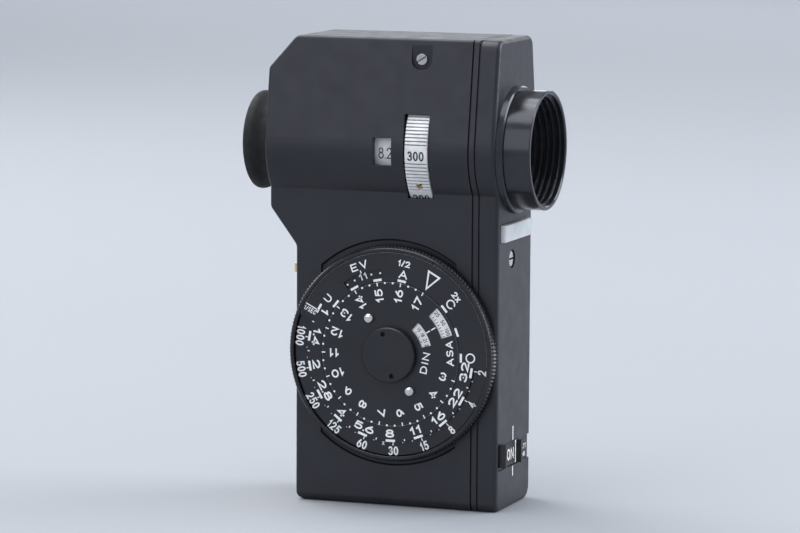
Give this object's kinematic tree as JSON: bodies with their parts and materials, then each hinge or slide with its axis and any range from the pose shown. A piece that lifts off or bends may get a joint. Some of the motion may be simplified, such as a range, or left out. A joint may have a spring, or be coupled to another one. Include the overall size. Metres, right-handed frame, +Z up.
{
  "type": "handheld light meter",
  "caption": "Handheld spot exposure meter: upright black case with a calculator dial on the front, a zoom ring, an eyecup behind and a lens hood ahead.",
  "frame": {"origin": "centre of the flat base that the meter stands on, halfway along the grip", "axes": "+X along the optical axis towards the subject, -Y is the side with the calculator dial, +Z up"},
  "size_m": [0.0823, 0.0371, 0.125],
  "materials": {
    "case_black": "satin black with a fine texture",
    "hood_black": "gloss black",
    "dial_black": "matt black anodised with white figures",
    "rim_black": "black anodised, knurled",
    "bright_metal": "satin bright, knurled",
    "screw_steel": "nickel plated",
    "brass": "plain",
    "soft_rubber": "matt black rubber",
    "lens_glass": "coated and polished",
    "frosted_plastic": "frosted white, translucent",
    "inner_metal": "dark anodised",
    "meter_steel": "plain",
    "copper_coil": "enamelled copper wire",
    "board_green": "laminate",
    "switch_black": "matt black",
    "battery_case": "plain painted steel"
  },
  "bodies": {
    "case": {"body_shell": "case_black", "chassis_frame": "case_black", "nose_cap": "case_black", "illumination_window": "frosted_plastic", "top_screws": "screw_steel", "nose_screw": "screw_steel", "strap_lug": "brass", "lens_hood": "hood_black", "hood_flange": "hood_black", "objective_lens": "lens_glass", "objective_ring": "inner_metal", "lens_barrel": "inner_metal", "beam_splitter": "lens_glass", "prism_mount": "inner_metal", "photocell_holder": "switch_black", "photocell": "meter_steel", "eyepiece_tube": "inner_metal", "eyepiece_lens": "lens_glass", "eyepiece_ring": "inner_metal", "reticle": "lens_glass", "eyecup": "soft_rubber", "meter_yoke": "meter_steel", "meter_core": "meter_steel", "meter_bracket": "brass", "speed_disc": "dial_black", "wave_washer": "meter_steel", "dial_cap": "dial_black", "dial_post": "brass", "post_nut": "brass", "switch_body": "switch_black", "battery": "battery_case", "battery_snap": "switch_black", "circuit_board": "board_green", "trimmers": "board_green", "capacitors": "meter_steel", "hinge_pin": "screw_steel"},
    "exposure_dial": {"exposure_ring": "rim_black", "scale_plate": "dial_black"},
    "film_speed_dial": {"film_dial": "dial_black", "grip_pins": "screw_steel"},
    "zoom": {"zoom_ring": "bright_metal", "angle_drum": "bright_metal", "zoom_ring_screw": "brass"},
    "variator": {"variator_carrier": "inner_metal", "variator_lens": "lens_glass"},
    "compensator": {"compensator_carrier": "inner_metal", "compensator_lens": "lens_glass"},
    "switch": {"switch_slider": "switch_black"},
    "needle": {"moving_coil": "copper_coil", "pointer": "meter_steel"},
    "door": {"battery_door": "case_black", "door_screw": "screw_steel"}
  },
  "joints": [
    {"name": "exposure_turn", "type": "hinge", "parent": "case", "child": "exposure_dial", "pos_m": [-0.0005, -0.0166, 0.0414], "axis": [0, -1, 0], "continuous": true},
    {"name": "film_speed_turn", "type": "hinge", "parent": "case", "child": "film_speed_dial", "pos_m": [-0.0005, -0.0166, 0.0414], "axis": [0, -1, 0], "range_deg": [-100, 140]},
    {"name": "zoom_turn", "type": "hinge", "parent": "case", "child": "zoom", "pos_m": [0.007, 0, 0.0956], "axis": [1, 0, 0], "range_deg": [-160, 0]},
    {"name": "variator_slide", "type": "slide", "parent": "case", "child": "variator", "axis": [1, 0, 0], "range_m": [-0.006, 0]},
    {"name": "compensator_slide", "type": "slide", "parent": "case", "child": "compensator", "axis": [1, 0, 0], "range_m": [0, 0.003]},
    {"name": "switch_slide", "type": "slide", "parent": "case", "child": "switch", "axis": [0, 1, 0], "range_m": [0, 0.004]},
    {"name": "needle_swing", "type": "hinge", "parent": "case", "child": "needle", "pos_m": [-0.019, 0, 0.114], "axis": [1, 0, 0], "range_deg": [-30, 30], "stiffness_Nm_per_rad": 0.0001},
    {"name": "battery_door_swing", "type": "hinge", "parent": "case", "child": "door", "pos_m": [-0.01, 0.0121, 0.0066], "axis": [-1, 0, 0], "range_deg": [0, 90]}
  ],
  "couplings": [
    {"joint": "variator_slide", "follows": "zoom_turn", "m_per_rad": 0.0021486},
    {"joint": "compensator_slide", "follows": "zoom_turn", "m_per_rad": -0.0010743}
  ]
}
